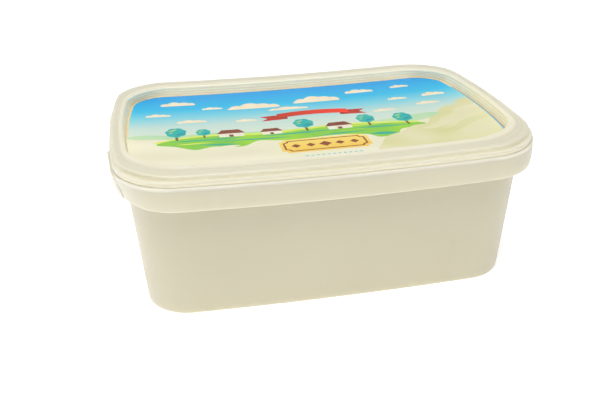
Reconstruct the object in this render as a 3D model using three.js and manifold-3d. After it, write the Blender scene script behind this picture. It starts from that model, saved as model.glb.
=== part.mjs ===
// Rectangular dairy tub, shut: a tapered tub with a skirted rim, a push-on lid with a raised
// stacking ring, and the label on the lid's sunken panel. Millimetres, +Z up, the long side
// along X, the origin under the middle of the base.
import * as THREE from 'three';
import { mergeVertices } from 'three/addons/utils/BufferGeometryUtils.js';
import Module from 'manifold-3d';

// Outer size of the rim, and the height of the rim line that the lid sits in.
const LENGTH = 180;
const WIDTH = 132.6;
const RIM_Z = 62.4;

// The skirt: the upright band that hangs down round the rim.
const SKIRT_HEIGHT = 9.6;
const SKIRT_WALL = 1.2;
const SKIRT_DRAFT = 0.2;
const SKIRT_FOOT_ROUND = 0.3;
const RIM_RADIUS = 22;
const LIP_RISE = 0.5;
const LIP_ROUND = 0.55;
const LIP_WIDTH = 0.6;
const SEAT_DEPTH = 1.2;
const FLANGE_THICKNESS = 0.8;

// The tub's wall, measured inwards from the rim's outline.
const TOP_INSET = 4.85;
const TOP_RADIUS = 19.4;
const BASE_INSET = 9.25;
const BASE_RADIUS = 17;
const BASE_EDGE_ROUND = 1.5;
const FOOT_WIDTH = 5;
const BASE_RECESS = 0.8;

// How far the middle of a side stands proud of its ends, and how far the rim dips half-way
// along the long sides.
const RIM_BOW = { long: 0.55, short: 4.4 };
const BASE_BOW = { long: 2.2, short: 2.5 };
const RIM_DIP = 2;

// The tear-off seals: full-height patches that stand proud of the skirt near each corner.
const SEAL_LENGTH = 30;
const SEAL_PROUD = { start: 0.9, end: 0.25 };
const SEAL_START = 20;
const SEAL_BACKING = 0.8;
const SEAL_STEPS = 6;

// The dent: the skirt's foot is pressed in at the front-left corner.
const DENT = { x: -87, y: -52, spread: 11, depth: 2.4, turn: 22 };

// The lid. Heights count from the rim line, insets from the rim's outline.
const FIT_GAP = 0.3;
const LID_NECK_INSET = LIP_WIDTH + FIT_GAP;
const LID_FOOT = { inset: 0.65, bottom: LIP_RISE + FIT_GAP, top: 1.5 };
const BEAD = { inset: 0.45, bottom: 1.7, shoulder: 2.1, top: 3 };
const RING_WALL_INSET = 1.3;
const RING_HEIGHT = 4.9;
const RING_EDGE_ROUND = 1.2;
const RING_CROWN = 0.4;
const RING_RADIUS = 23.8;
const RING_INNER = { x: 6.2, y: 12.2, radius: 21.8, round: 0.4 };
const PANEL_FOOT = { x: 7, y: 13, radius: 15.2 };
const PANEL_HEIGHT = 0.25;

// The label: a thin film that lies on the panel.
const LABEL_MARGIN = 0.4;
const LABEL_LIFT = 0.15;
const LABEL_THICKNESS = 0.3;

// Facets: steps round a corner, along the sides, and round a small edge.
const CORNER_STEPS = 9;
const LONG_STEPS = 10;
const SHORT_STEPS = 8;
const EDGE_STEPS = 3;
const WALL_STEPS = 5;
const CAP_SCALES = [0.8, 0.55, 0.3];

// The heights that the skirt's foot, the foot of its lip, and the lip's top lie at.
const SKIRT_FOOT = RIM_Z - SKIRT_HEIGHT;
const LIP_TOP = RIM_Z + LIP_RISE;
const SKIRT_TOP = LIP_TOP - LIP_ROUND;

const lerp = THREE.MathUtils.lerp;
const wasm = await Module();
wasm.setup();

// The points of a rounded rectangle whose sides bow outwards, anticlockwise from above.
function outline({ halfX, halfY, radius, bow }) {
  const corners = [[1, 1], [-1, 1], [-1, -1], [1, -1]];
  const arcs = corners.map(([sx, sy], quarter) => {
    const centre = new THREE.Vector2(sx * (halfX - radius), sy * (halfY - radius));
    return Array.from({ length: CORNER_STEPS + 1 }, (unused, step) => {
      const angle = (quarter + step / CORNER_STEPS) * Math.PI / 2;
      return new THREE.Vector2(Math.cos(angle), Math.sin(angle)).multiplyScalar(radius).add(centre);
    });
  });
  const points = arcs.flatMap((arc, quarter) => {
    const steps = quarter % 2 === 0 ? LONG_STEPS : SHORT_STEPS;
    const from = arc[CORNER_STEPS];
    const to = arcs[(quarter + 1) % corners.length][0];
    const side = Array.from({ length: steps - 1 }, (unused, step) =>
      from.clone().lerp(to, (step + 1) / steps));
    return [...arc, ...side];
  });
  return points.map(({ x, y }) => new THREE.Vector2(
    x * (1 - bow.short / halfX * (y / halfY) ** 2),
    y * (1 - bow.long / halfY * (x / halfX) ** 2),
  ));
}

// The rim dips half-way along the long sides, and the dip dies out towards the base.
function dip(x, z) {
  const share = Math.min(1, Math.max(0, z) / SKIRT_FOOT) ** 2;
  return RIM_DIP * share * (1 - (2 * x / LENGTH) ** 2);
}

// One level of a loft: an outline set in from the rim's, at a height.
function level(z, insetX, insetY, radius, bow = RIM_BOW, scale = 1) {
  const halfX = (LENGTH / 2 - insetX) * scale;
  const halfY = (WIDTH / 2 - insetY) * scale;
  const scaledBow = { long: bow.long * scale, short: bow.short * scale };
  return outline({ halfX, halfY, radius: radius * scale, bow: scaledBow })
    .map(({ x, y }) => new THREE.Vector3(x, y, z - dip(x, z)));
}

// Levels that shrink towards the middle, so that a cap follows the dip.
function cap(z, insetX, insetY, radius, bow = RIM_BOW) {
  return CAP_SCALES.map((scale) => level(z, insetX, insetY, radius, bow, scale));
}

// Where the dent puts a point of the skirt. The push grows from nothing at the lip to its whole
// depth at the foot, and dies out round the dent's middle.
function dented({ x, y, z }) {
  const share = THREE.MathUtils.clamp((SKIRT_TOP - z) / (SKIRT_TOP - SKIRT_FOOT), 0, 1);
  const away = Math.hypot(x - DENT.x, y - DENT.y) / DENT.spread;
  const push = DENT.depth * share * Math.exp(-0.5 * away ** 2);
  const angle = THREE.MathUtils.degToRad(DENT.turn);
  return new THREE.Vector3(x + push * Math.cos(angle), y + push * Math.sin(angle), z);
}

// A closed solid through a list of levels, with a point in the middle of the first and last.
function loft(levels) {
  const count = levels[0].length;
  const positions = levels.flat().flatMap((point) => point.toArray());
  const middles = [levels[0], levels[levels.length - 1]].map((ring) => {
    const z = ring.reduce((sum, point) => sum + point.z, 0) / count;
    return new THREE.Vector3(0, 0, z);
  });
  middles.forEach((middle) => positions.push(...middle.toArray()));
  const bottom = levels.length * count;
  const top = bottom + 1;
  const last = (levels.length - 1) * count;
  const index = [];
  for (let step = 0; step < count; step += 1) {
    const next = (step + 1) % count;
    index.push(bottom, next, step);
    for (let row = 0; row < last; row += count) {
      index.push(row + step, row + next, row + count + next);
      index.push(row + step, row + count + next, row + count + step);
    }
    index.push(top, last + step, last + next);
  }
  const geometry = new THREE.BufferGeometry();
  geometry.setAttribute('position', new THREE.Float32BufferAttribute(positions, 3));
  geometry.setIndex(index);
  return geometry;
}

// Steps round a quarter turn, from 0 to 1 along and from 0 to 1 up.
function quarterTurn() {
  return Array.from({ length: EDGE_STEPS + 1 }, (unused, step) => {
    const angle = step / EDGE_STEPS * Math.PI / 2;
    return { along: Math.sin(angle), up: 1 - Math.cos(angle) };
  });
}

// The tub's wall at a height: inset, corner radius and bow run evenly from base to skirt.
function wallLevel(z, extraInset = 0) {
  const share = z / SKIRT_FOOT;
  const inset = lerp(BASE_INSET, TOP_INSET, share) + extraInset;
  const bow = {
    long: lerp(BASE_BOW.long, RIM_BOW.long, share),
    short: lerp(BASE_BOW.short, RIM_BOW.short, share),
  };
  return level(z, inset, inset, lerp(BASE_RADIUS, TOP_RADIUS, share) - extraInset, bow);
}

function tubLevels() {
  const footInset = BASE_INSET + BASE_EDGE_ROUND;
  const recessInset = footInset + FOOT_WIDTH;
  const recessRadius = BASE_RADIUS - BASE_EDGE_ROUND - FOOT_WIDTH;
  const panelInset = recessInset + BASE_RECESS;
  const grooveTop = RIM_Z - SEAT_DEPTH - FLANGE_THICKNESS;
  const skirtInside = SKIRT_DRAFT + SKIRT_WALL;
  const seatZ = RIM_Z - SEAT_DEPTH;
  const even = (z, inset, radius, bow) => level(z, inset, inset, radius, bow);
  return [
    ...cap(BASE_RECESS, panelInset, panelInset, recessRadius, BASE_BOW).reverse(),
    even(BASE_RECESS, panelInset, recessRadius, BASE_BOW),
    even(0, recessInset, recessRadius, BASE_BOW),
    ...quarterTurn().map(({ along, up }) =>
      wallLevel(BASE_EDGE_ROUND * up, BASE_EDGE_ROUND * (1 - along))),
    ...Array.from({ length: WALL_STEPS }, (unused, step) =>
      wallLevel(lerp(BASE_EDGE_ROUND, SKIRT_FOOT, (step + 1) / WALL_STEPS))),
    wallLevel(grooveTop),
    even(grooveTop, skirtInside, RIM_RADIUS - skirtInside),
    even(SKIRT_FOOT, skirtInside, RIM_RADIUS - skirtInside).map(dented),
    even(SKIRT_FOOT, SKIRT_DRAFT + SKIRT_FOOT_ROUND, RIM_RADIUS).map(dented),
    even(SKIRT_FOOT + SKIRT_FOOT_ROUND, SKIRT_DRAFT, RIM_RADIUS).map(dented),
    ...quarterTurn().map(({ along, up }) =>
      even(LIP_TOP - LIP_ROUND * (1 - along), LIP_ROUND * up, RIM_RADIUS)),
    even(LIP_TOP, LIP_WIDTH, RIM_RADIUS),
    even(seatZ, LIP_WIDTH, RIM_RADIUS),
    ...cap(seatZ, LIP_WIDTH, LIP_WIDTH, RIM_RADIUS),
  ];
}

function lidLevels() {
  const bottomZ = RIM_Z - SEAT_DEPTH + FIT_GAP;
  const at = (height, inset, radius) => level(RIM_Z + height, inset, inset, radius);
  const inner = RING_INNER;
  const panelZ = RIM_Z + PANEL_HEIGHT;
  const wallRadius = lerp(RIM_RADIUS, RING_RADIUS, 0.5);
  const topInset = RING_WALL_INSET + RING_EDGE_ROUND;
  const crown = {
    x: lerp(topInset, inner.x, 0.5),
    y: lerp(topInset, inner.y, 0.5),
    radius: lerp(RING_RADIUS, inner.radius, 0.5),
  };
  return [
    ...cap(bottomZ, LID_NECK_INSET, LID_NECK_INSET, RIM_RADIUS).reverse(),
    level(bottomZ, LID_NECK_INSET, LID_NECK_INSET, RIM_RADIUS),
    at(LID_FOOT.bottom, LID_NECK_INSET, RIM_RADIUS),
    at(LID_FOOT.bottom, LID_FOOT.inset, RIM_RADIUS),
    at(LID_FOOT.top, LID_FOOT.inset, RIM_RADIUS),
    at(BEAD.bottom, BEAD.inset, RIM_RADIUS),
    ...quarterTurn().map(({ along, up }) => at(
      lerp(BEAD.shoulder, BEAD.top, along),
      lerp(BEAD.inset, RING_WALL_INSET, up),
      lerp(RIM_RADIUS, wallRadius, up),
    )),
    ...quarterTurn().map(({ along, up }) => at(
      RING_HEIGHT - RING_EDGE_ROUND * (1 - along),
      RING_WALL_INSET + RING_EDGE_ROUND * up,
      RING_RADIUS,
    )),
    level(RIM_Z + RING_HEIGHT + RING_CROWN, crown.x, crown.y, crown.radius),
    level(RIM_Z + RING_HEIGHT, inner.x - inner.round, inner.y - inner.round, inner.radius),
    level(RIM_Z + RING_HEIGHT - inner.round, inner.x, inner.y, inner.radius),
    level(panelZ, PANEL_FOOT.x, PANEL_FOOT.y, PANEL_FOOT.radius),
    ...cap(panelZ, PANEL_FOOT.x, PANEL_FOOT.y, PANEL_FOOT.radius),
  ];
}

function labelLevels() {
  const insetX = PANEL_FOOT.x + LABEL_MARGIN;
  const insetY = PANEL_FOOT.y + LABEL_MARGIN;
  const radius = PANEL_FOOT.radius - LABEL_MARGIN;
  const underside = RIM_Z + PANEL_HEIGHT + LABEL_LIFT;
  const face = underside + LABEL_THICKNESS;
  return [
    ...cap(underside, insetX, insetY, radius).reverse(),
    level(underside, insetX, insetY, radius),
    level(face, insetX, insetY, radius),
    ...cap(face, insetX, insetY, radius),
  ];
}

// How far out the rim's short side lies at a distance along it.
function rimX(y) {
  const halfX = LENGTH / 2;
  const halfY = WIDTH / 2;
  const intoCorner = Math.max(0, Math.abs(y) - (halfY - RIM_RADIUS));
  const straight = halfX - RIM_RADIUS + Math.sqrt(RIM_RADIUS ** 2 - intoCorner ** 2);
  return straight * (1 - RIM_BOW.short / halfX * (y / halfY) ** 2);
}

// One tear-off seal: a thin curved patch, as tall as the skirt, that follows the rim.
function sealGeometry(sideX, sideY) {
  const shares = Array.from({ length: SEAL_STEPS + 1 }, (unused, step) => step / SEAL_STEPS);
  const edge = (start, end) => shares.map((share) => {
    const y = SEAL_START + SEAL_LENGTH * share;
    return new THREE.Vector2(sideX * (rimX(y) + lerp(start, end, share)), sideY * y);
  });
  const face = edge(SEAL_PROUD.start, SEAL_PROUD.end);
  const back = edge(-SEAL_BACKING, -SEAL_BACKING);
  const shape = new THREE.Shape([...face, ...back.reverse()]);
  const depth = SKIRT_TOP - SKIRT_FOOT;
  const geometry = new THREE.ExtrudeGeometry(shape, { depth, bevelEnabled: false });
  geometry.translate(0, 0, SKIRT_FOOT);
  const { position } = geometry.attributes;
  for (let index = 0; index < position.count; index += 1) {
    const point = dented(new THREE.Vector3().fromBufferAttribute(position, index));
    position.setXYZ(index, ...point.toArray());
  }
  return geometry;
}

function toSolid(geometry) {
  const bare = geometry.clone();
  bare.deleteAttribute('normal');
  bare.deleteAttribute('uv');
  const merged = mergeVertices(bare);
  return new wasm.Manifold(new wasm.Mesh({
    numProp: 3,
    vertProperties: new Float32Array(merged.attributes.position.array),
    triVerts: new Uint32Array(merged.index.array),
  }));
}

function toGeometry(solid) {
  const { vertProperties, triVerts } = solid.getMesh();
  const geometry = new THREE.BufferGeometry();
  geometry.setAttribute('position', new THREE.BufferAttribute(vertProperties, 3));
  geometry.setIndex(new THREE.BufferAttribute(triVerts, 1));
  geometry.computeVertexNormals();
  return geometry;
}

function makeTub() {
  const sides = [[1, 1], [-1, 1], [-1, -1], [1, -1]];
  const seals = sides.map(([sideX, sideY]) => toSolid(sealGeometry(sideX, sideY)));
  return toGeometry(seals.reduce((tub, seal) => tub.add(seal), toSolid(loft(tubLevels()))));
}

const polypropylene = new THREE.MeshStandardMaterial({ color: '#dad5ba', roughness: 0.38, metalness: 0 });
const lidPolypropylene = new THREE.MeshStandardMaterial({ color: '#e8e4cb', roughness: 0.35, metalness: 0 });
const printedFilm = new THREE.MeshStandardMaterial({ color: '#8fcbe6', roughness: 0.3, metalness: 0 });

function part(name, geometry, material) {
  const mesh = new THREE.Mesh(geometry, material);
  mesh.name = name;
  return mesh;
}

const dairyTub = new THREE.Group();
dairyTub.add(
  part('tub', makeTub(), polypropylene),
  part('lid', loft(lidLevels()), lidPolypropylene),
  part('label', loft(labelLevels()), printedFilm),
);

export default dairyTub;
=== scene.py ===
# A rectangular dairy tub, shut: a cream polypropylene tub with a skirted rim and four tear-off
# seals, its push-on lid with a raised ring, and the printed film on the lid's sunken panel.
# Sizes are in millimetres and times MM where Blender reads them. +X is the long side, -Y the front.
import math
from collections import namedtuple

import bmesh
import bpy
from mathutils import Matrix, Vector
from mathutils.geometry import delaunay_2d_cdt


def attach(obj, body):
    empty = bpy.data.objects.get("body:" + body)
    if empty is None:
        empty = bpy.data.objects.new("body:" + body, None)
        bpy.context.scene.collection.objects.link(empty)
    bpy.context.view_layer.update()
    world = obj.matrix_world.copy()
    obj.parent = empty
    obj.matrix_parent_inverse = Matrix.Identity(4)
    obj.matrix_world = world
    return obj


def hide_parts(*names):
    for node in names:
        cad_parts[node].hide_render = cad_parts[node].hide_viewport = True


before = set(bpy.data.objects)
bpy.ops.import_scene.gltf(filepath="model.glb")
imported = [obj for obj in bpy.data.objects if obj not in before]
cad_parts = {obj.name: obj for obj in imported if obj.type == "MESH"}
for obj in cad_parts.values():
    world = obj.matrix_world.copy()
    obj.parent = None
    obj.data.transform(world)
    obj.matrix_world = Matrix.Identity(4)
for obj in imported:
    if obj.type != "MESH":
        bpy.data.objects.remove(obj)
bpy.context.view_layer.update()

MM = 0.001

# The rim's outline and the height of its line, as the CAD part has them.
LENGTH = 180.0
WIDTH = 132.6
RIM_Z = 62.4
RIM_RADIUS = 22.0
RIM_DIP = 2.0
RIM_BOW = (0.55, 4.4)
BASE_BOW = (2.2, 2.5)

# The skirt round the rim, the lip on top of it and the seat inside it.
SKIRT_HEIGHT = 9.6
SKIRT_WALL = 1.2
SKIRT_DRAFT = 0.2
SKIRT_TOP_DRAFT = 0.01
LIP_RISE = 0.5
LIP_WIDTH = 0.6
LIP_ROUND = 0.55
SEAT_DEPTH = 1.2
FLANGE_THICKNESS = 0.8

# The tub's wall, measured inwards from the rim's outline, and its base.
TOP_INSET = 4.85
TOP_RADIUS = 19.4
BASE_INSET = 9.25
BASE_RADIUS = 17.0
BASE_EDGE_ROUND = 1.5
FOOT_WIDTH = 5.0
BASE_RECESS = 0.8

# The tear-off seals on the skirt's short sides.
SEAL_LENGTH = 30.0
SEAL_PROUD = (0.9, 0.25)
SEAL_START = 20.0
SEAL_BACKING = 0.8
SEAL_EDGE_ROUND = 0.2

# The dent: the skirt's foot is pressed in at the front-left corner, by this much this way.
DENT_MIDDLE = (-87.0, -52.0)
DENT_SPREAD = 11.0
DENT_DEPTH = 2.4
DENT_TURN = 22.0

# The mould's mark, a round spot hardly raised on the front wall: its middle, radius and height.
MARK_MIDDLE = (50.1, -58.2, 20.4)
MARK_RADIUS = 1.5
MARK_RISE = 0.12

# The heights of the skirt's foot, the lip's top and the lip's foot.
SKIRT_FOOT = RIM_Z - SKIRT_HEIGHT
LIP_TOP = RIM_Z + LIP_RISE
SKIRT_TOP = LIP_TOP - LIP_ROUND

# The lid: heights count from the rim line, insets from the rim's outline. Its foot rests close
# above the tub's lip.
FIT_GAP = 0.3
FOOT_GAP = 0.1
LID_NECK_INSET = LIP_WIDTH + FIT_GAP
LID_FOOT_INSET = 0.65
LID_FOOT_BOTTOM = LIP_RISE + FOOT_GAP
LID_FOOT_TOP = 1.5
BEAD_INSET = 0.45
BEAD_BOTTOM = 1.7
BEAD_TOP = 3.0
RING_WALL_INSET = 1.3
RING_TOP_INSET = 1.9
RING_HEIGHT = 4.9
RING_EDGE_ROUND = 1.2
RING_RADIUS = 23.8
RING_INNER_X = 6.2
RING_INNER_Y = 12.2
RING_INNER_RADIUS = 21.8
PANEL_INSET = (7.0, 13.0)
PANEL_RADIUS = 15.2
PANEL_HEIGHT = 0.25

# The label: a film on the panel.
LABEL_INSET = (7.4, 13.4)
LABEL_RADIUS = 14.8
LABEL_LIFT = 0.15
LABEL_THICKNESS = 0.3

# Facets: steps round a corner, along a side, round a small edge, round the lip, up the tub's wall
# and along a seal. Points of a loft that are nearer than the weld distance become one.
CORNER_STEPS = 22
SIDE_STEPS = 26
ROUND_STEPS = 4
LIP_STEPS = 6
WALL_STEPS = 14
SEAL_STEPS = 15
WELD_DISTANCE = 0.004

# The four corners of a rounded rectangle, anticlockwise, as signs of x and y.
CORNERS = ((1, 1), (-1, 1), (-1, -1), (1, -1))

# Edges of the label and of the seals that turn by more than this many degrees stay sharp.
LABEL_SHARP = 40
SEAL_SHARP = 35


def linear(colour):
    """An sRGB hex colour as the linear RGBA that a shader reads."""
    channels = [int(colour[at:at + 2], 16) / 255 for at in (1, 3, 5)]
    return [c / 12.92 if c <= 0.04045 else ((c + 0.055) / 1.055) ** 2.4 for c in channels] + [1.0]


def put(name, data):
    """A new object in the scene."""
    piece = bpy.data.objects.new(name, data)
    bpy.context.scene.collection.objects.link(piece)
    return piece


def plug(tree, node, inputs):
    """Sets a node's inputs, by name or number, each to a value or from a node or a socket."""
    for key, value in inputs.items():
        if isinstance(value, bpy.types.Node):
            value = value.outputs[0]
        if isinstance(value, bpy.types.NodeSocket):
            tree.links.new(value, node.inputs[key])
        else:
            node.inputs[key].default_value = value


def add(tree, kind, inputs=(), **settings):
    """Adds a node with its inputs and its own settings. A kind without the word Node is a shader
    node, and a kind in capitals is a Math node's operation."""
    if kind.isupper():
        kind, settings["operation"] = "Math", kind
    node = tree.nodes.new(kind if "Node" in kind else "ShaderNode" + kind)
    for name, value in settings.items():
        setattr(node, name, value)
    plug(tree, node, inputs if isinstance(inputs, dict) else dict(enumerate(inputs)))
    return node


def sockets(tree, kind, names, way="INPUT"):
    for name in names:
        tree.interface.new_socket(name, in_out=way, socket_type="NodeSocket" + kind)


# Levels: a lofted piece is a list of stops from its underside to its top. Each stop is an outline
# set in from the rim's, at a height, with the size of the rounding where the profile turns, the
# share of the dent's depth that it takes, how strong a painted highlight pales the plastic there
# (pale), and how strong a painted glow, an emission that lightens shade, it gives off (lit).
Stop = namedtuple("Stop",
                  "height inset_x inset_y radius bow_long bow_short scale rounding dent pale lit")


def stop(height, inset, radius, rounding=0.0, bow=RIM_BOW, scale=1.0, dent=0.0, pale=0.0, lit=0.0):
    inset_x, inset_y = inset if isinstance(inset, tuple) else (inset, inset)
    return Stop(height, inset_x, inset_y, radius, *bow, scale, rounding, dent, pale, lit)


def between(first, second, share):
    return Stop(*(a + (b - a) * share for a, b in zip(first, second)))


def reach(level):
    """A level's height and how far out it lies on the long and the short axis."""
    half_x = (LENGTH / 2 - level.inset_x) * level.scale
    half_y = (WIDTH / 2 - level.inset_y) * level.scale
    return level.height, half_x, half_y


def rounded(stops):
    """The stops with each turn that has a rounding replaced by a short curve."""
    result = [stops[0]]
    for before, here, after in zip(stops, stops[1:], stops[2:]):
        if not here.rounding:
            result.append(here)
            continue
        starts = []
        for other in (before, after):
            run = math.dist(reach(here), reach(other))
            starts.append(between(here, other, min(0.48, here.rounding / run)))
        for step in range(ROUND_STEPS + 1):
            share = step / ROUND_STEPS
            first = between(starts[0], here, share)
            second = between(here, starts[1], share)
            result.append(between(first, second, share))
    return result + [stops[-1]]


def cap(middle_to_edge, height, inset, radius, bow=RIM_BOW):
    """Levels of one flat face, from its middle out to its edge or back, to follow the dip."""
    scales = (0.0, 0.2, 0.4, 0.6, 0.8, 0.93)
    ordered = scales if middle_to_edge else scales[::-1]
    return [stop(height, inset, radius, bow=bow, scale=scale) for scale in ordered]


def wall_stop(height, rounding=0.0):
    """The tub's wall: inset, corner radius and bow run evenly from the base to the skirt."""
    share = height / SKIRT_FOOT
    inset = BASE_INSET + (TOP_INSET - BASE_INSET) * share
    radius = BASE_RADIUS + (TOP_RADIUS - BASE_RADIUS) * share
    bow = tuple(base + (rim - base) * share for base, rim in zip(BASE_BOW, RIM_BOW))
    return stop(height, inset, radius, rounding, bow)


def tub_stops():
    """The tub's profile, from the middle of its base out, up the wall, round the skirt and over the
    lip to the seat. A number after a radius is the rounding of the turn there."""
    foot_inset = BASE_INSET + BASE_EDGE_ROUND + FOOT_WIDTH
    foot_radius = BASE_RADIUS - BASE_EDGE_ROUND - FOOT_WIDTH
    panel_inset = foot_inset + BASE_RECESS
    groove_z = RIM_Z - SEAT_DEPTH - FLANGE_THICKNESS
    skirt_inside = SKIRT_DRAFT + SKIRT_WALL
    seat_z = RIM_Z - SEAT_DEPTH
    lowest = 3
    wall_rise = (SKIRT_FOOT - lowest) / WALL_STEPS
    lip_turns = (step / LIP_STEPS * math.pi / 2 for step in range(LIP_STEPS + 1))
    return [
        *cap(True, BASE_RECESS, panel_inset, foot_radius, BASE_BOW),
        stop(BASE_RECESS, panel_inset, foot_radius, 0.4, BASE_BOW),
        stop(0, foot_inset, foot_radius, 0.3, BASE_BOW),
        wall_stop(0, rounding=BASE_EDGE_ROUND),
        *(wall_stop(lowest + wall_rise * step) for step in range(WALL_STEPS + 1)),
        wall_stop(groove_z, rounding=0.5),
        stop(groove_z, skirt_inside, RIM_RADIUS - skirt_inside, 0.5),
        stop(SKIRT_FOOT, skirt_inside, RIM_RADIUS - skirt_inside, 0.2, dent=1),
        # The skirt's foot and the lip carry a painted highlight (pale), and the lip a faint painted
        # glow (lit), so the lip reads as a bright line.
        stop(SKIRT_FOOT, SKIRT_DRAFT, RIM_RADIUS, 0.45, dent=1, pale=0.15),
        stop((SKIRT_FOOT + SKIRT_TOP) / 2, SKIRT_DRAFT / 2, RIM_RADIUS, dent=0.5, pale=0.15),
        stop(SKIRT_TOP - 2 * LIP_ROUND, SKIRT_TOP_DRAFT, RIM_RADIUS, pale=0.15),
        stop(SKIRT_TOP - LIP_ROUND, SKIRT_TOP_DRAFT, RIM_RADIUS, pale=0.6, lit=0.02),
        *(stop(LIP_TOP - LIP_ROUND * (1 - math.sin(turn)), LIP_ROUND * (1 - math.cos(turn)),
               RIM_RADIUS, pale=0.9, lit=0.06) for turn in lip_turns),
        stop(LIP_TOP, LIP_WIDTH, RIM_RADIUS, 0.03, pale=0.9, lit=0.06),
        stop(seat_z, LIP_WIDTH, RIM_RADIUS, 0.15),
        *cap(False, seat_z, LIP_WIDTH, RIM_RADIUS),
    ]


# Fine steps moulded in the top of the lid's ring: share of the way in, height in millimetres, and
# how strong a painted highlight pales the plastic there.
RING_RELIEF = (
    (0.13, 0.0, 0.1), (0.17, -0.05, 0.0), (0.31, 0.22, 0.0), (0.38, 0.2, 0.1),
    (0.46, 0.08, 0.0), (0.52, 0.1, 0.0), (0.63, 0.34, 0.3), (0.72, 0.32, 0.5), (0.95, 0.16, 0.45),
)

# Fine ridges down the ring's inner wall: share of the way down, how far each lies into the recess
# in millimetres, how strong a painted highlight pales it, and how strong a painted glow it gives off.
WALL_RELIEF = (
    (0.22, 0.1, 0.1, 0.14), (0.34, -0.04, 0.8, 0.2), (0.48, 0.1, 0.1, 0.14),
    (0.6, -0.02, 0.8, 0.2), (0.74, 0.1, 0.1, 0.14), (0.88, 0.0, 0.8, 0.2),
)


def lid_stops():
    """The lid's profile, from the middle of its underside out, up the neck and the bead, over the
    ring, down its inner wall and in across the panel."""
    bottom_z = RIM_Z - SEAT_DEPTH + FIT_GAP
    panel_z = RIM_Z + PANEL_HEIGHT
    wall_radius = (RIM_RADIUS + RING_RADIUS) / 2

    def across_ring(share, height, pale):
        inset = tuple(RING_TOP_INSET + (inner - RING_TOP_INSET) * share
                      for inner in (RING_INNER_X, RING_INNER_Y))
        radius = RING_RADIUS + (RING_INNER_RADIUS - RING_RADIUS) * share
        return stop(RIM_Z + RING_HEIGHT + height, inset, radius, 0.35, pale=pale)

    # The ring's inner edge carries a painted highlight (pale) and, with its inner wall and the
    # panel's foot, a painted glow (lit) that lightens them where they lie in shade.
    edge = stop(RIM_Z + RING_HEIGHT, (RING_INNER_X, RING_INNER_Y), RING_INNER_RADIUS, 0.45,
                pale=0.5, lit=0.18)
    foot = stop(panel_z, PANEL_INSET, PANEL_RADIUS, 0.3, lit=0.18)

    def down_wall(share, proud, pale, lit):
        level = between(edge, foot, share)
        return level._replace(inset_x=level.inset_x + proud, inset_y=level.inset_y + proud,
                              rounding=0.15, pale=pale, lit=lit)

    return [
        *cap(True, bottom_z, LID_NECK_INSET, RIM_RADIUS),
        stop(bottom_z, LID_NECK_INSET, RIM_RADIUS, 0.2),
        stop(RIM_Z + LID_FOOT_BOTTOM, LID_NECK_INSET, RIM_RADIUS, 0.05),
        # From here up, the foot, the bead and the wall's foot carry a painted highlight (pale), and
        # the foot a painted glow (lit), lightening the shade of the valley over the tub's lip.
        stop(RIM_Z + LID_FOOT_BOTTOM, LID_FOOT_INSET, RIM_RADIUS, 0.1, pale=0.9, lit=0.2),
        stop(RIM_Z + LID_FOOT_TOP, LID_FOOT_INSET, RIM_RADIUS, 0.4, pale=0.7, lit=0.05),
        stop(RIM_Z + BEAD_BOTTOM, BEAD_INSET, RIM_RADIUS, 0.3, pale=0.2),
        stop(RIM_Z + BEAD_TOP, BEAD_INSET, RIM_RADIUS, 0.9, pale=0.2),
        stop(RIM_Z + BEAD_TOP, RING_WALL_INSET, wall_radius, 0.4, pale=0.5),
        stop(RIM_Z + (BEAD_TOP + RING_HEIGHT) / 2, RING_WALL_INSET, RING_RADIUS),
        stop(RIM_Z + RING_HEIGHT, RING_WALL_INSET, RING_RADIUS, RING_EDGE_ROUND),
        *(across_ring(*place) for place in RING_RELIEF),
        edge,
        *(down_wall(*place) for place in WALL_RELIEF),
        foot,
        *cap(False, panel_z, PANEL_INSET, PANEL_RADIUS),
    ]


def dent_push(tree, given, position, share):
    """Nodes for the dent's push on a position: nothing far from its middle, a share of its depth."""
    away = add(tree, "VectorMath", [position, given["Dent middle"]], operation="SUBTRACT")
    flat = add(tree, "VectorMath", [away, (1, 1, 0)], operation="MULTIPLY")
    far = add(tree, "VectorMath", [flat], operation="LENGTH").outputs["Value"]
    squared = add(tree, "POWER", [add(tree, "DIVIDE", [far, given["Dent spread"]]), 2])
    near = add(tree, "EXPONENT", [add(tree, "MULTIPLY", [squared, -0.5])])
    amount = add(tree, "MULTIPLY", [near, share])
    return add(tree, "VectorMath", {0: given["Dent push"], 3: amount}, operation="SCALE")


def dent_sockets(tree):
    sockets(tree, "Vector", ["Dent middle", "Dent push"])
    sockets(tree, "Float", ["Dent spread"])


def dent_values():
    turn = math.radians(DENT_TURN)
    depth = DENT_DEPTH * MM
    return {
        "Dent middle": (DENT_MIDDLE[0] * MM, DENT_MIDDLE[1] * MM, 0),
        "Dent push": (depth * math.cos(turn), depth * math.sin(turn), 0),
        "Dent spread": DENT_SPREAD * MM,
    }


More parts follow.
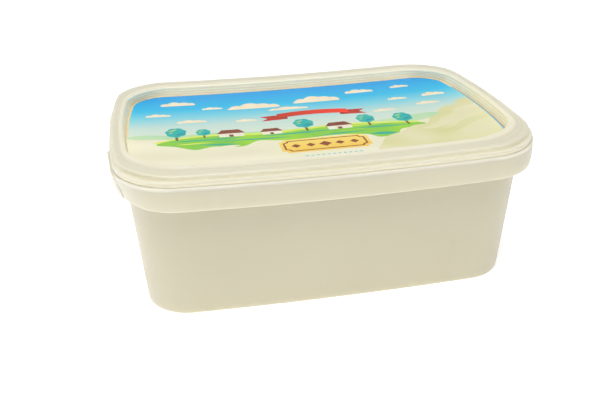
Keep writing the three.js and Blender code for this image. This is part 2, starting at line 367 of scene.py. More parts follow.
def loft_tree():
    """Geometry Nodes: turns a row of level points into a closed shell.

    Column and row of a grid give the place round the outline and the level. A column is a corner
    direction and a surface direction; a level gives insets, corner radius, bow and scale."""
    tree = bpy.data.node_groups.new("loft_through_levels", "GeometryNodeTree")
    sockets(tree, "Geometry", ["Levels"])
    sockets(tree, "Float", ["Half length", "Half width", "Rim dip", "Dip height", "Weld distance"])
    sockets(tree, "Int", ["Corner steps", "Side steps"])
    dent_sockets(tree)
    sockets(tree, "Material", ["Material"])
    sockets(tree, "Geometry", ["Shell"], "OUTPUT")
    given = add(tree, "NodeGroupInput").outputs

    def sample(name, row):
        value = add(tree, "GeometryNodeInputNamedAttribute", [name], data_type="FLOAT_VECTOR")
        found = add(tree, "GeometryNodeSampleIndex", {0: given["Levels"], 1: value, 2: row},
                    data_type="FLOAT_VECTOR", domain="POINT")
        return add(tree, "SeparateXYZ", [found]).outputs

    rows = add(tree, "GeometryNodeAttributeDomainSize", [given["Levels"]], component="MESH")
    quarter_steps = add(tree, "ADD", [given["Corner steps"], given["Side steps"]])
    columns = add(tree, "MULTIPLY", [quarter_steps, 4])
    grid = add(tree, "GeometryNodeMeshGrid", {2: add(tree, "ADD", [columns, 1]), 3: rows})

    index = add(tree, "ADD", [add(tree, "GeometryNodeInputIndex"), 0.5])
    column = add(tree, "FLOOR", [add(tree, "DIVIDE", [index, rows])])
    before = add(tree, "MULTIPLY", [column, rows])
    row = add(tree, "FLOOR", [add(tree, "SUBTRACT", [index, before])])
    middle = add(tree, "ADD", [column, 0.5])
    quarter = add(tree, "FLOOR", [add(tree, "DIVIDE", [middle, quarter_steps])])
    passed = add(tree, "MULTIPLY", [quarter, quarter_steps])
    step = add(tree, "SUBTRACT", [column, passed])
    turned = add(tree, "MINIMUM", [add(tree, "DIVIDE", [step, given["Corner steps"]]), 1])
    past = add(tree, "MAXIMUM", [add(tree, "SUBTRACT", [step, given["Corner steps"]]), 0])
    along = add(tree, "DIVIDE", [past, given["Side steps"]])

    def direction(turns):
        angle = add(tree, "MULTIPLY", [turns, math.pi / 2])
        return add(tree, "CombineXYZ", [add(tree, "COSINE", [angle]), add(tree, "SINE", [angle])])

    surface = direction(add(tree, "ADD", [quarter, turned]))
    here = direction(add(tree, "ADD", [quarter, 0.5]))
    following = direction(add(tree, "ADD", [quarter, 1.5]))
    corner = add(tree, "Mix", {0: along, 4: here, 5: following}, data_type="VECTOR")
    corner = add(tree, "VectorMath", {0: corner.outputs[1], 3: math.sqrt(2)}, operation="SCALE")

    inset = sample("inset", row)
    bend = sample("bend", row)
    half_x = add(tree, "SUBTRACT", [given["Half length"], inset["X"]])
    half_y = add(tree, "SUBTRACT", [given["Half width"], inset["Y"]])
    centres = add(tree, "CombineXYZ",
                  [add(tree, "SUBTRACT", [half, bend["X"]]) for half in (half_x, half_y)])
    out = add(tree, "VectorMath", [corner, centres], operation="MULTIPLY")
    arc = add(tree, "VectorMath", {0: surface, 3: bend["X"]}, operation="SCALE")
    point = add(tree, "VectorMath", [out, arc], operation="ADD")
    place = add(tree, "SeparateXYZ", [point]).outputs

    def bowed(value, bow, half, other, other_half):
        share = add(tree, "ABSOLUTE", [add(tree, "DIVIDE", [other, other_half])])
        lost = add(tree, "MULTIPLY", [add(tree, "DIVIDE", [bow, half]),
                                      add(tree, "POWER", [share, 2])])
        kept = add(tree, "MULTIPLY", [value, add(tree, "SUBTRACT", [1, lost])])
        return add(tree, "MULTIPLY", [kept, inset["Z"]])

    x = bowed(place["X"], bend["Z"], half_x, place["Y"], half_y)
    y = bowed(place["Y"], bend["Y"], half_y, place["X"], half_x)
    heights = sample("height", row)
    height = heights["Y"]
    above = add(tree, "MAXIMUM", [height, 0])
    rise = add(tree, "MINIMUM", [add(tree, "DIVIDE", [above, given["Dip height"]]), 1])
    across = add(tree, "ABSOLUTE", [add(tree, "DIVIDE", [x, given["Half length"]])])
    deepest = add(tree, "MULTIPLY", [given["Rim dip"], add(tree, "POWER", [rise, 2])])
    inwards = add(tree, "SUBTRACT", [1, add(tree, "POWER", [across, 2])])
    dip = add(tree, "MULTIPLY", [deepest, inwards])
    where = add(tree, "CombineXYZ", [x, y, add(tree, "SUBTRACT", [height, dip])])
    push = dent_push(tree, given, where, heights["X"])
    # Each level's painted highlight (pale) and painted glow (lit), kept on the points for the
    # plastic's material.
    tones = sample("tone", row)
    toned = grid
    for name, tone in (("pale", tones["X"]), ("lit", tones["Y"])):
        toned = add(tree, "GeometryNodeStoreNamedAttribute",
                    {"Geometry": toned, "Name": name, "Value": tone}, data_type="FLOAT")
    placed = add(tree, "GeometryNodeSetPosition",
                 {"Geometry": toned, "Position": where, "Offset": push})
    welded = add(tree, "GeometryNodeMergeByDistance",
                 {"Geometry": placed, "Distance": given["Weld distance"]})
    smooth = add(tree, "GeometryNodeSetShadeSmooth", {"Geometry": welded})
    real = add(tree, "GeometryNodeRealizeInstances", [smooth])
    dressed = add(tree, "GeometryNodeSetMaterial",
                  {"Geometry": real, "Material": given["Material"]})
    add(tree, "NodeGroupOutput", [dressed])
    return tree


def seal_tree():
    """Geometry Nodes: one curved patch that follows the rim's short side, set four times."""
    tree = bpy.data.node_groups.new("tear_off_seals", "GeometryNodeTree")
    sockets(tree, "Float", ["Half length", "Half width", "Corner radius", "Bow", "Start", "Length",
                            "Proud at start", "Proud at end", "Backing", "Bottom", "Top"])
    sockets(tree, "Int", ["Steps"])
    dent_sockets(tree)
    sockets(tree, "Material", ["Material"])
    sockets(tree, "Geometry", ["Seals"], "OUTPUT")
    given = add(tree, "NodeGroupInput").outputs

    block = add(tree, "GeometryNodeMeshCube", {"Size": (1, 1, 1), "Vertices Y": given["Steps"]})
    unit = add(tree, "VectorMath", [add(tree, "GeometryNodeInputPosition"), (0.5,) * 3],
               operation="ADD")
    share = add(tree, "SeparateXYZ", [unit]).outputs
    y = add(tree, "ADD", [given["Start"], add(tree, "MULTIPLY", [share["Y"], given["Length"]])])
    radius = given["Corner radius"]
    side_end = add(tree, "SUBTRACT", [given["Half width"], radius])
    into_corner = add(tree, "MAXIMUM", [add(tree, "SUBTRACT", [y, side_end]), 0])
    squares = [add(tree, "POWER", [length, 2]) for length in (radius, into_corner)]
    drop = add(tree, "SQRT", [add(tree, "SUBTRACT", squares)])
    corner_x = add(tree, "SUBTRACT", [given["Half length"], radius])
    straight = add(tree, "ADD", [corner_x, drop])
    across = add(tree, "POWER", [add(tree, "DIVIDE", [y, given["Half width"]]), 2])
    bow_share = add(tree, "DIVIDE", [given["Bow"], given["Half length"]])
    kept = add(tree, "SUBTRACT", [1, add(tree, "MULTIPLY", [bow_share, across])])
    rim_x = add(tree, "MULTIPLY", [straight, kept])
    back = add(tree, "MULTIPLY", [given["Backing"], -1])
    proud = add(tree, "Mix", {0: share["Y"], 2: given["Proud at start"], 3: given["Proud at end"]})
    out = add(tree, "Mix", {0: share["X"], 2: back, 3: proud})
    z = add(tree, "Mix", {0: share["Z"], 2: given["Bottom"], 3: given["Top"]})
    where = add(tree, "CombineXYZ", [add(tree, "ADD", [rim_x, out]), y, z])
    patch = add(tree, "GeometryNodeSetPosition", {"Geometry": block, "Position": where})

    copies = add(tree, "GeometryNodeJoinGeometry")
    for side_x, side_y in CORNERS:
        turned = add(tree, "GeometryNodeTransform",
                     {"Geometry": patch, "Scale": (side_x, side_y, 1)})
        tree.links.new(turned.outputs[0], copies.inputs[0])
    place = add(tree, "GeometryNodeInputPosition")
    height = add(tree, "SeparateXYZ", [place]).outputs["Z"]
    share = add(tree, "DIVIDE", [add(tree, "SUBTRACT", [given["Top"], height]),
                                 add(tree, "SUBTRACT", [given["Top"], given["Bottom"]])])
    pressed = add(tree, "GeometryNodeSetPosition",
                  {"Geometry": copies, "Offset": dent_push(tree, given, place, share)})
    real = add(tree, "GeometryNodeRealizeInstances", [pressed])
    dressed = add(tree, "GeometryNodeSetMaterial",
                  {"Geometry": real, "Material": given["Material"]})
    add(tree, "NodeGroupOutput", [dressed])
    return tree


def grown(name, tree, values, mesh=None, finish=()):
    """An object grown by a tree from named values, then made a plain mesh with its faces outwards."""
    piece = put(name, mesh or bpy.data.meshes.new(name))
    modifier = piece.modifiers.new("shape", "NODES")
    modifier.node_group = tree
    for item in tree.interface.items_tree:
        if item.in_out == "INPUT" and item.name in values:
            modifier[item.identifier] = values[item.name]
    for kind, settings in finish:
        extra = piece.modifiers.new(kind.lower(), kind)
        for key, value in settings.items():
            setattr(extra, key, value)
    graph = bpy.context.evaluated_depsgraph_get()
    plain = bpy.data.meshes.new_from_object(piece.evaluated_get(graph))
    piece.modifiers.clear()
    piece.data = plain
    shell = bmesh.new()
    shell.from_mesh(plain)
    bmesh.ops.recalc_face_normals(shell, faces=shell.faces)
    shell.to_mesh(plain)
    shell.free()
    return piece


def lofted(name, stops, tree, material):
    levels = bpy.data.meshes.new(name + "_levels")
    levels.from_pydata([(0, 0, 0)] * len(stops), [], [])
    fields = {
        "height": [(s.dent, s.height * MM, 0) for s in stops],
        "tone": [(s.pale, s.lit, 0) for s in stops],
        "inset": [(s.inset_x * MM, s.inset_y * MM, s.scale) for s in stops],
        "bend": [(s.radius * MM, s.bow_long * MM, s.bow_short * MM) for s in stops],
    }
    for field, vectors in fields.items():
        attribute = levels.attributes.new(field, "FLOAT_VECTOR", "POINT")
        attribute.data.foreach_set("vector", [number for vector in vectors for number in vector])
    values = {
        "Half length": LENGTH / 2 * MM,
        "Half width": WIDTH / 2 * MM,
        "Rim dip": RIM_DIP * MM,
        "Dip height": SKIRT_FOOT * MM,
        "Weld distance": WELD_DISTANCE * MM,
        "Corner steps": CORNER_STEPS,
        "Side steps": SIDE_STEPS,
        "Material": material,
        **dent_values(),
    }
    even = ("WEIGHTED_NORMAL", {"weight": 80})
    return grown(name, tree, values, levels, [even])


def dip(x):
    """How far the lid's panel lies below its ends, half-way along."""
    return RIM_DIP * (1 - (2 * x / LENGTH) ** 2)


def label_outline(margin=0.0):
    """The label's edge: a rounded rectangle whose sides bow outwards."""
    half_x = LENGTH / 2 - LABEL_INSET[0] - margin
    half_y = WIDTH / 2 - LABEL_INSET[1] - margin
    radius = LABEL_RADIUS - margin
    points = []
    for quarter, (side_x, side_y) in enumerate(CORNERS):
        for step in range(CORNER_STEPS + 1):
            angle = (quarter + step / CORNER_STEPS) * math.pi / 2
            points.append((side_x * (half_x - radius) + radius * math.cos(angle),
                           side_y * (half_y - radius) + radius * math.sin(angle)))
        next_x, next_y = CORNERS[(quarter + 1) % 4]
        last = points[-1]
        first = ((half_x - radius) * next_x, (half_y - radius) * next_y)
        first = (first[0], last[1]) if quarter % 2 == 0 else (last[0], first[1])
        for step in range(1, SIDE_STEPS):
            share = step / SIDE_STEPS
            points.append(tuple(a + (b - a) * share for a, b in zip(last, first)))
    bow_long, bow_short = RIM_BOW
    return [(x * (1 - bow_short / half_x * (y / half_y) ** 2),
             y * (1 - bow_long / half_y * (x / half_x) ** 2)) for x, y in points]


# The print: each layer is an ink and a closed outline on the label, in millimetres from its middle,
# and a later layer covers an earlier one.
def oval(x, y, half_width, half_height, steps=20):
    return [(x + half_width * math.cos(turn), y + half_height * math.sin(turn))
            for turn in (2 * math.pi * step / steps for step in range(steps))]


def oblong(left, low, right, top):
    return [(left, low), (right, low), (right, top), (left, top)]


def smooth(points, steps=6):
    """A closed curve through points, by Catmull and Rom's rule."""
    count = len(points)
    curve = []
    for at in range(count):
        p0, p1, p2, p3 = (points[(at + shift) % count] for shift in (-1, 0, 1, 2))
        for step in range(steps):
            t = step / steps
            curve.append(tuple(
                0.5 * (2 * b + (c - a) * t + (2 * a - 5 * b + 4 * c - d) * t * t
                       + (3 * b - a - 3 * c + d) * t ** 3)
                for a, b, c, d in zip(p0, p1, p2, p3)))
    return curve


def lens(x, y, half_width, half_height, slope=0.0, steps=12):
    """A long leaf shape, pointed at both ends, for a stripe of shade."""
    edge = [2 * step / steps - 1 for step in range(steps + 1)]
    upper = [(x + half_width * s, y + slope * s + half_height * (1 - s * s)) for s in edge]
    lower = [(x + half_width * s, y + slope * s - half_height * (1 - s * s)) for s in edge]
    return lower + upper[-2:0:-1]


def cloud(x, y, width, height, lean=0.0):
    """A flat-bottomed cloud with blunt ends: the top is the upper edge of four puffs."""
    puffs = ((-0.36 + lean, 0.14, 0.62), (-0.1 + lean, 0.22, 1.0), (0.17, 0.2, 0.8),
             (0.37, 0.13, 0.55))
    steps = 46
    top = []
    for step in range(steps + 1):
        s = step / steps - 0.5
        rise = [tall * math.sqrt(max(0, 1 - ((s - at) / wide) ** 2)) for at, wide, tall in puffs]
        end = max(0, 1 - (2 * s) ** 8) * 0.36
        top.append((x + s * width, y + height * max(end, *rise)))
    bottom = [(x + s * width, y - height * 0.14) for s in (0.46, 0.2, -0.1, -0.46)]
    return top[::-1] + bottom[::-1]


def garden_tree(x, y, width, height):
    """A round garden tree: a trunk, a crown of lobes, a stripe of shade and two of light."""
    trunk = width * 0.06
    layers = [("bark", oblong(x - trunk, y, x + trunk, y + height * 0.4))]
    middle = y + height * 0.62
    lobes = 7
    for lobe in range(lobes):
        turn = 2 * math.pi * (lobe + 0.3) / lobes
        layers.append(("leaf", oval(x + width * 0.26 * math.cos(turn),
                                    middle + height * 0.2 * math.sin(turn),
                                    width * 0.22, height * 0.17)))
    layers.append(("leaf", oval(x, middle, width * 0.32, height * 0.26)))
    for ink, right, up, half_width, half_height, slope in (
            ("leaf_shade", 0.16, -0.14, 0.24, 0.07, 0.06),
            ("leaf_light", -0.14, 0.17, 0.2, 0.05, 0.07),
            ("leaf_light", -0.22, -0.02, 0.12, 0.04, 0.04)):
        layers.append((ink, lens(x + width * right, middle + height * up, width * half_width,
                                 height * half_height, height * slope)))
    return layers


def cottage(x, y, width, height):
    """A small house: pale walls, a brown roof, a door and a chimney."""
    half = width / 2
    eaves = y + height * 0.48
    return [
        ("roof", oblong(x + half * 0.4, eaves, x + half * 0.65, y + height * 1.02)),
        ("lime_wash", oblong(x - half, y, x + half, eaves + 0.4)),
        ("roof", [(x - half * 1.15, eaves), (x + half * 1.15, eaves),
                  (x + half * 0.7, y + height), (x - half * 0.7, y + height)]),
        ("roof", oblong(x - half * 0.2, y, x + half * 0.15, y + height * 0.3)),
    ]


def ribbon(x, y, width, height, arch):
    """A bare arched ribbon with a folded tail at each end."""
    half = width / 2
    steps = 16
    edge = [2 * step / steps - 1 for step in range(steps + 1)]
    lower = [(x + half * s, y + arch * (1 - s * s) - height / 2) for s in edge]
    upper = [(px, py + height) for px, py in lower]
    layers = []
    for side in (-1, 1):
        end = x + side * half
        tail = height * 1.35
        layers.append(("ribbon_fold", [
            (end - side * height * 0.7, y - height * 0.75), (end + side * tail, y - height * 0.95),
            (end + side * tail * 0.6, y - height * 0.4), (end + side * tail, y + height * 0.1),
            (end - side * height * 0.7, y + height * 0.3)]))
        layers.append(("ribbon_shade", [
            (end, y - height / 2), (end - side * height * 0.7, y - height * 0.75),
            (end - side * height * 0.7, y - height * 0.2)]))
    return layers + [("ribbon", lower + upper[::-1])]


def plate(x, y, width, height, notch):
    """A plaque with scooped corners."""
    outline = []
    for quarter, (side_x, side_y) in enumerate(CORNERS):
        centre = (x + side_x * width / 2, y + side_y * height / 2)
        steps = 6
        for step in range(steps + 1):
            turn = (quarter - 1 - step / steps) * math.pi / 2
            outline.append((centre[0] + notch * math.cos(turn),
                            centre[1] + notch * math.sin(turn)))
    return outline


def print_layers():
    """Sky, clouds, a green shore with trees and cottages, a sea of cream, a bare ribbon and a
    plaque, and at the right end a blue line of the print's edge with a painted shadow outside it."""
    layers = [("sky", label_outline(0.9))]
    for x, y, width, height in (
            (-58, 36, 17, 5.4), (-42, 27, 10, 3.2), (-68, 20, 12, 3.6), (-53, 9, 14, 3.6),
            (34, 36, 15, 5), (56, 38, 10, 3.6), (68, 20, 12, 4.6), (49, 19, 10, 3.2),
            (-28, 6, 10, 3), (61, 8, 12, 3.6), (38, 4, 11, 3)):
        layers.append(("cloud", cloud(x, y, width, height)))
    for x, y, width, height in ((-22, 25, 26, 7.5), (10, 28, 24, 8.5), (-6, 19, 20, 4)):
        layers.append(("cloud", cloud(x, y, width, height, 0.05)))
    layers.append(("far_hill", smooth([(-84, -16), (-84, -8), (-74, -5.5), (-60, -8), (-46, -6.5),
                                       (-30, -9), (10, -10), (40, -7), (56, -5), (70, -9),
                                       (84, -12), (84, -20)])))
    layers.append(("cream", smooth([(-90, -12.5), (-76, -11), (-60, -13), (-40, -15), (0, -16),
                                    (40, -15), (90, -12), (100, -70), (-100, -70)], 10)))
    layers.append(("lit_grass", smooth([(-69, -17.5), (-60, -11.5), (-44, -9.3), (-24, -11),
                                        (-6, -9.5), (14, -8.2), (34, -11), (48, -15), (38, -19),
                                        (-20, -20)], 8)))
    layers.append(("meadow", smooth([
        (-70, -18.5), (-62, -13.6), (-44, -11.2), (-24, -13), (-6, -11.8), (14, -10.4),
        (34, -13.2), (50, -17.5), (45, -21), (38, -22.5), (34, -28), (26, -29.5), (21, -24.5),
        (8, -22), (-14, -23), (-26, -21), (-34, -26.5), (-46, -24.5), (-54, -27), (-62, -22)], 8)))
    for stripe in ((-48, -15.6, 17, 0.9, 0.4), (-6, -15.2, 18, 1.0, 0.5), (30, -16.6, 13, 0.9, -1.2),
                   (-26, -18.8, 16, 0.8, -0.6), (29, -25.4, 6.5, 1.7, -0.8), (-44, -22.4, 9, 1.0, -1),
                   (12, -20, 12, 0.8, 0.6)):
        layers.append(("shaded_grass", lens(*stripe)))
    for stripe in ((-20, -12.9, 14, 0.45, 0.5), (20, -12.4, 12, 0.5, -0.8),
                   (-54, -19.5, 8, 0.6, 0.3)):
        layers.append(("lit_grass", lens(*stripe)))
    layers.append(("cream", lens(-40, -25.4, 5.5, 1.2, 0.5)))
    for x, y, width, height in ((-61, -14.5, 10, 17), (-49, -13, 7, 12), (-3, -13.5, 10, 17),
                                (26, -14, 9, 16), (43, -17.5, 9.5, 17)):
        layers += garden_tree(x, y, width, height)
    for x, y, width, height in ((-37, -13.5, 11, 9), (-19, -14, 9, 7.5), (12, -14.5, 11, 9)):
        layers += cottage(x, y, width, height)
    layers.append(("swirl", smooth([
        (36, -26), (44, -20), (51, -18.5), (55, -12), (60, -8.5), (62, -3), (67, 1), (72, 2.5),
        (75, 7.5), (81, 10), (90, 10), (98, -66), (20, -66), (26, -34)], 8)))
    layers.append(("swirl_light", smooth([
        (47, -24), (55, -19.5), (60, -13.5), (66, -10), (69, -4.5), (75, -2), (84, 0), (84, -4),
        (76, -6.5), (71, -11), (66, -16), (59, -22.5), (51, -26.5)], 6)))
    layers.append(("swirl_shade", smooth([
        (52, -30), (61, -26), (67, -20), (74, -17), (84, -14), (84, -18), (75, -21.5),
        (69, -25.5), (62, -31), (55, -32.5)], 6)))
    layers += ribbon(4, 9.5, 34, 6.2, 2.4)
    layers.append(("plaque", plate(1, -31, 39, 15.5, 2.4)))
    layers.append(("plaque_line", plate(1, -31, 36, 12.5, 2.2)))
    layers.append(("plaque", plate(1, -31, 34.4, 10.9, 2.0)))
    for at in range(5):
        size = 2.9 if at == 2 else 2.1
        x = 1 + (at - 2) * 6.4
        layers.append(("plaque_line", [(x + size, -31), (x, -31 + size), (x - size, -31),
                                       (x, -31 - size)]))
    for at in range(11):
        layers.append(("dot", oval(2 + (at - 5) * 2.3, -43.6, 0.75, 0.75, 8)))
    inner, middle, outer = (
        sorted((point for point in label_outline(margin) if point[0] > 70 and -44 < point[1] < 30),
               key=lambda point: point[1]) for margin in (1.1, 0.5, 0.02))
    layers.append(("edge_blue", middle + inner[::-1]))
    # A painted shadow: a brown strip outside the blue line, where the ring's inner wall meets the
    # label.
    layers.append(("edge_brown", outer + middle[::-1]))
    return label_outline(), layers


def turns_left(outline):
    """Whether a closed outline runs anticlockwise, as the cut needs it to."""
    pairs = zip(outline, outline[1:] + outline[:1])
    return sum(x * next_y - next_x * y for (x, y), (next_x, next_y) in pairs) > 0


def printed_label(inks):
    """The label: its face cut along the outlines of the print, each field in its own ink, with a
    point every few millimetres so that it follows the panel's dip."""
    edge, layers = print_layers()
    layers = [("film", edge)] + layers
    points = []
    faces = []
    for ink, outline in layers:
        faces.append(list(range(len(points), len(points) + len(outline))))
        points += outline if turns_left(outline) else outline[::-1]
    pitch = 4.0
    reach_x, reach_y = LENGTH / 2 - LABEL_INSET[0], WIDTH / 2 - LABEL_INSET[1]
    for row in range(-int(reach_y / pitch), int(reach_y / pitch) + 1):
        for column in range(-int(reach_x / pitch), int(reach_x / pitch) + 1):
            points.append((column * pitch, row * pitch))
    flat, _, cells, _, _, owners = delaunay_2d_cdt(
        [Vector(point) for point in points], [], faces, 1, 1e-4, True)

    mesh = bmesh.new()
    top_z = RIM_Z + PANEL_HEIGHT + LABEL_LIFT + LABEL_THICKNESS
    names = sorted({ink for ink, outline in layers})
    kept = [(cell, max(owner)) for cell, owner in zip(cells, owners) if 0 in owner]
    used = sorted({corner for cell, layer in kept for corner in cell})
    tops = {at: mesh.verts.new((flat[at].x * MM, flat[at].y * MM, (top_z - dip(flat[at].x)) * MM))
            for at in used}
    lows = {at: mesh.verts.new(top.co - Vector((0, 0, LABEL_THICKNESS * MM)))
            for at, top in tops.items()}
    sides = {}
    for cell, layer in kept:
        face = mesh.faces.new([tops[at] for at in cell])
        face.material_index = names.index(layers[layer][0])
        under = mesh.faces.new([lows[at] for at in reversed(cell)])
        under.material_index = names.index("film")
        for at, following in zip(cell, cell[1:] + cell[:1]):
            if sides.pop((following, at), None) is None:
                sides[(at, following)] = True
    for at, following in sides:
        side = mesh.faces.new([lows[at], lows[following], tops[following], tops[at]])
        side.material_index = names.index("film")
    bmesh.ops.recalc_face_normals(mesh, faces=mesh.faces)
    for face in mesh.faces:
        face.smooth = abs(face.normal.z) > 0.5
    data = bpy.data.meshes.new("printed_label")
    mesh.to_mesh(data)
    mesh.free()
    data.set_sharp_from_angle(angle=math.radians(LABEL_SHARP))
    for name in names:
        data.materials.append(inks[name])
    return put("printed_label", data)


def new_material(name):
    material = bpy.data.materials.new(name)
    material.use_nodes = True
    tree = material.node_tree
    return material, tree, tree.nodes["Principled BSDF"]


POLYPROPYLENE_IOR = 1.49


def moulded_polypropylene(name, pale, deep, depth, painted_edge_highlight):
    """Cream polypropylene, injection moulded: light sinks in and softens the shade, convex edges and
    the places marked pale carry a painted highlight, the places marked lit give off a painted glow
    that lightens their shade, the gloss is satin, and the mould leaves the skin faintly uneven,
    with one round mark on the tub's front wall."""
    melt_patch, skin_patch, peel_patch = 38 * MM, 5 * MM, 1.6 * MM
    material, tree, shader = new_material(name)
    place = add(tree, "TexCoord").outputs["Object"]
    melt = add(tree, "TexNoise", {"Vector": place, "Scale": 1 / melt_patch, "Detail": 2.0})
    colour = add(tree, "Mix", {0: melt, 6: linear(pale), 7: linear(deep)}, data_type="RGBA")
    # Painted highlight: convex edges, found by pointiness, and the places marked pale are mixed
    # towards a light cream.
    convex = add(tree, "NewGeometry").outputs["Pointiness"]
    edge = add(tree, "MapRange", {0: convex, 1: 0.505, 2: 0.57, 4: painted_edge_highlight})
    painted_highlight_share = add(tree, "Attribute", attribute_name="pale").outputs["Fac"]
    thin = add(tree, "ADD", [edge, painted_highlight_share], use_clamp=True)
    painted_highlight_colour = add(tree, "Mix", {0: thin, 6: colour.outputs[2], 7: linear("#fff8de")},
                   data_type="RGBA")
    # Painted glow: the places marked lit give off a warm emission that lightens their shade, though
    # the plastic is no lamp.
    through = add(tree, "Attribute", attribute_name="lit").outputs["Fac"]
    glow = add(tree, "Mix", {0: through, 6: linear("#000000"), 7: linear("#fff0cc")},
               data_type="RGBA")
    skin = add(tree, "TexNoise", {"Vector": place, "Scale": 1 / skin_patch, "Detail": 3.0})
    rough = add(tree, "MapRange", {0: skin, 1: 0.3, 2: 0.7, 3: 0.3, 4: 0.42})
    away = add(tree, "VectorMath", [place, [side * MM for side in MARK_MIDDLE]],
               operation="DISTANCE").outputs["Value"]
    spot = add(tree, "MapRange",
               {0: away, 1: 0.6 * MARK_RADIUS * MM, 2: MARK_RADIUS * MM, 3: 1, 4: 0},
               interpolation_type="SMOOTHSTEP")
    mark = add(tree, "Bump", {"Distance": MARK_RISE * MM, "Height": spot})
    peel = add(tree, "TexNoise", {"Vector": place, "Scale": 1 / peel_patch, "Detail": 1.0})
    bump = add(tree, "Bump",
               {"Strength": 0.12, "Distance": 0.04 * MM, "Height": peel, "Normal": mark})
    plug(tree, shader, {
        "Base Color": painted_highlight_colour.outputs[2], "Emission Color": glow.outputs[2],
        "Emission Strength": 1.0, "Roughness": rough, "Normal": bump, "IOR": POLYPROPYLENE_IOR,
        "Subsurface Weight": depth, "Subsurface Radius": (1.0, 0.95, 0.85),
        "Subsurface Scale": 4 * MM})
    return material


def printed_film(name):
    """A glossy polypropylene film, the base of every ink: smooth, with a faint ripple."""
    material, tree, shader = new_material(name)
    place = add(tree, "TexCoord").outputs["Object"]
    ripple_length = 14 * MM
    ripple = add(tree, "TexNoise", {"Vector": place, "Scale": 1 / ripple_length})
    bump = add(tree, "Bump", {"Strength": 0.1, "Distance": 0.1 * MM, "Height": ripple})
    plug(tree, shader, {"Normal": bump, "Roughness": 0.36, "IOR": POLYPROPYLENE_IOR,
                        "Specular IOR Level": 0.15})
    return material, tree, shader, place


def plain_ink(name, pale, deep, spread):
    """A field of one ink that varies a little, as offset print does over the size given in mm."""
    material, tree, shader, place = printed_film(name)
    tone = add(tree, "TexNoise", {"Vector": place, "Scale": 1 / (spread * MM)})
    share = add(tree, "MapRange", {0: tone, 1: 0.35, 2: 0.65})
    colour = add(tree, "Mix", {0: share, 6: linear(pale), 7: linear(deep)}, data_type="RGBA")
    plug(tree, shader, {"Base Color": colour.outputs[2]})
    return material


def faded_ink(name, axis, low, high, stops):
    """An ink that runs through several colours between two places along an axis."""
    material, tree, shader, place = printed_film(name)
    where = add(tree, "SeparateXYZ", [place]).outputs[axis]
    share = add(tree, "MapRange", {0: where, 1: low * MM, 2: high * MM})
    ramp = add(tree, "ValToRGB", [share])
    elements = ramp.color_ramp.elements
    while len(elements) < len(stops):
        elements.new(0.5)
    for element, (at, colour) in zip(elements, stops):
        element.position = at
        element.color = linear(colour)
    plug(tree, shader, {"Base Color": ramp})
    return material


def folded_cream(name, pale, deep, tint, fold, swirl):
    """Cream in soft folds, painted: bands or rings bent by a slow wander, fold millimetres apart,
    with a yellow-green tint. The rings of the swirl lie round the label's front-right corner."""
    swirl_middle = (-70 * MM, 40 * MM, 0)
    tint_patch = 30 * MM
    material, tree, shader, place = printed_film(name)
    centre = add(tree, "Mapping", {"Vector": place, "Location": swirl_middle})
    bands = add(tree, "TexWave",
                {"Vector": centre if swirl else place, "Scale": 1 / (fold * MM) / (2 * math.pi),
                 "Distortion": 6.0, "Detail": 1.0, "Detail Scale": 0.5},
                wave_type="RINGS" if swirl else "BANDS", bands_direction="Y")
    wander = add(tree, "TexNoise", {"Vector": place, "Scale": 1 / tint_patch, "Detail": 1.0})
    folds = add(tree, "Mix", {0: bands.outputs["Fac"], 6: linear(pale), 7: linear(deep)},
                data_type="RGBA")
    share = add(tree, "MapRange", {0: wander, 1: 0.42, 2: 0.68})
    tinted = add(tree, "Mix", {0: share, 6: folds.outputs[2], 7: linear(tint)}, data_type="RGBA")
    plug(tree, shader, {"Base Color": tinted.outputs[2]})
    return material


# The inks, with what each function above takes after the name: colours, places and sizes in mm.
INKS = {
    "film": (plain_ink, "#f0d4a2", "#ead0a0", 8),
    "sky": (faded_ink, 1, -10, 52, ((0.0, "#d8e6d3"), (0.22, "#c6e0d6"), (0.42, "#84d4e2"),
                                    (0.62, "#2ec0ea"), (1.0, "#049eea"))),
    "cloud": (plain_ink, "#fbeccd", "#f6e3c0", 10),
    "far_hill": (plain_ink, "#c6e2b4", "#b3dcb0", 20),
    "cream": (folded_cream, "#f1edd2", "#e8e3c6", "#ebe8c8", 12, False),
    "lit_grass": (plain_ink, "#e6ee6c", "#d3e85a", 12),
    "meadow": (plain_ink, "#9cd632", "#7cc64c", 14),
    "shaded_grass": (plain_ink, "#36ae94", "#4abc80", 9),
    "leaf": (plain_ink, "#1cb0b0", "#34b8aa", 5),
    "leaf_shade": (plain_ink, "#0e94a0", "#1a9ca2", 4),
    "leaf_light": (plain_ink, "#8fd08c", "#b4dc78", 4),
    "bark": (plain_ink, "#8a6a3c", "#7a5a34", 3),
    "lime_wash": (plain_ink, "#f3eedd", "#e9e2cc", 4),
    "roof": (plain_ink, "#7e3a26", "#8e4a30", 4),
    "ribbon": (faded_ink, 0, -16, 22, ((0.0, "#be2e14"), (1.0, "#ff3a0a"))),
    "ribbon_fold": (plain_ink, "#b8260c", "#ca3214", 6),
    "ribbon_shade": (plain_ink, "#8e2418", "#9a2c1c", 5),
    "plaque": (faded_ink, 1, -39, -23, ((0.0, "#f2c850"), (1.0, "#f8dc74"))),
    "plaque_line": (plain_ink, "#8a4226", "#96502e", 6),
    "dot": (plain_ink, "#4fbcc8", "#62c4ce", 4),
    "swirl": (folded_cream, "#e5e1b8", "#dad6a2", "#d8d694", 16, True),
    "swirl_light": (folded_cream, "#ece8cc", "#e4e0b8", "#e2e0ae", 10, True),
    "swirl_shade": (folded_cream, "#e2e0b0", "#d8d89e", "#d4d694", 12, True),
    "edge_blue": (plain_ink, "#6cc4e6", "#7ccae2", 10),
    # A brown strip of painted shadow at the foot of the ring's wall, on the label's right edge.
    "edge_brown": (plain_ink, "#a8854e", "#b08e58", 10),
}


